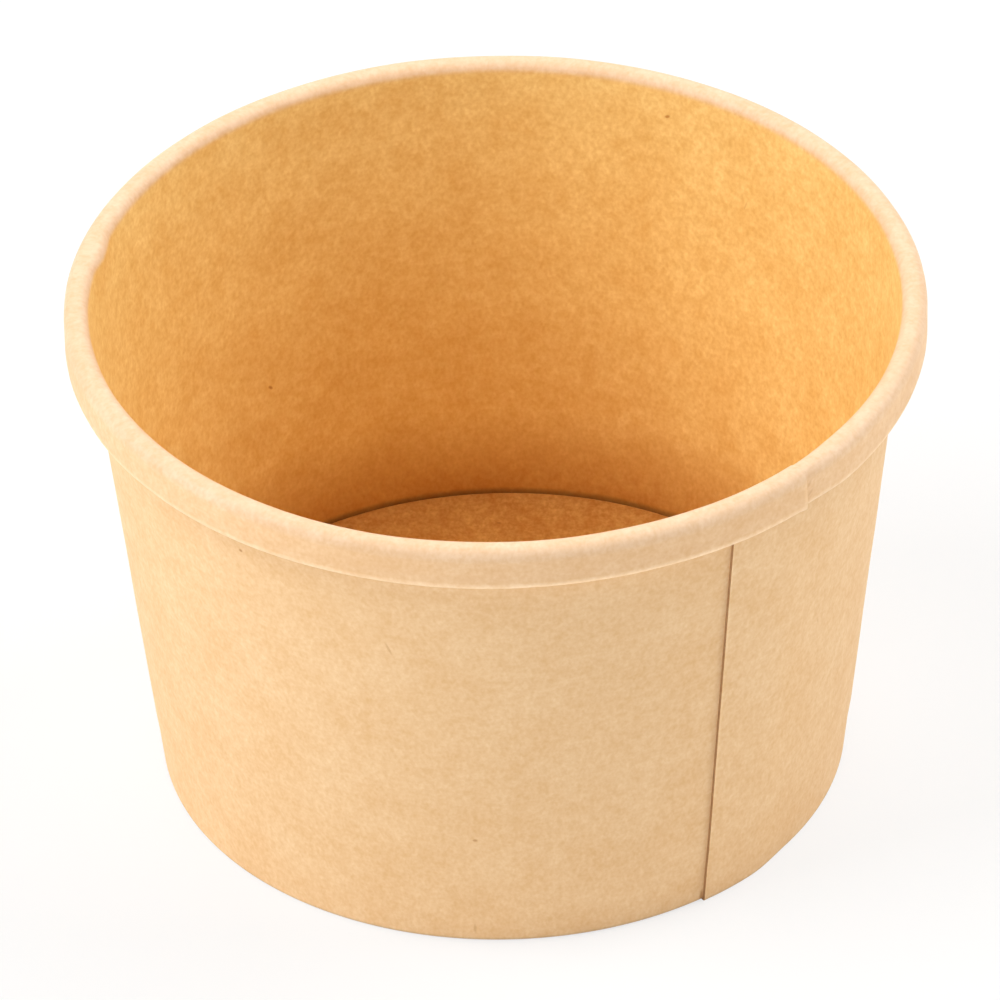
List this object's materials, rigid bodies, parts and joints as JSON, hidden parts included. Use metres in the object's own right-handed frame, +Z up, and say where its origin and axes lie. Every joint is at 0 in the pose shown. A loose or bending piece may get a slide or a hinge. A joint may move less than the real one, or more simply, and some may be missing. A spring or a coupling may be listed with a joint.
{
  "type": "paper ice cream tub",
  "caption": "Tapered round kraft board tub with a rolled rim, a lapped side seam and a raised floor held in a folded hem, open at the top to hold a portion of ice cream.",
  "frame": {"origin": "centre of the base, on the surface that the tub stands on", "axes": "+Z up along the tub's axis to the open mouth, -Y to the front as pictured, +X to the right; the side seam is 34 degrees round from the front towards +X"},
  "size_m": [0.098, 0.098, 0.062],
  "materials": {
    "kraft_board": "matt uncoated kraft outside, thin satin coating inside"
  },
  "bodies": {
    "root": {"side_wall": "kraft_board", "bottom_disc": "kraft_board"}
  },
  "joints": []
}
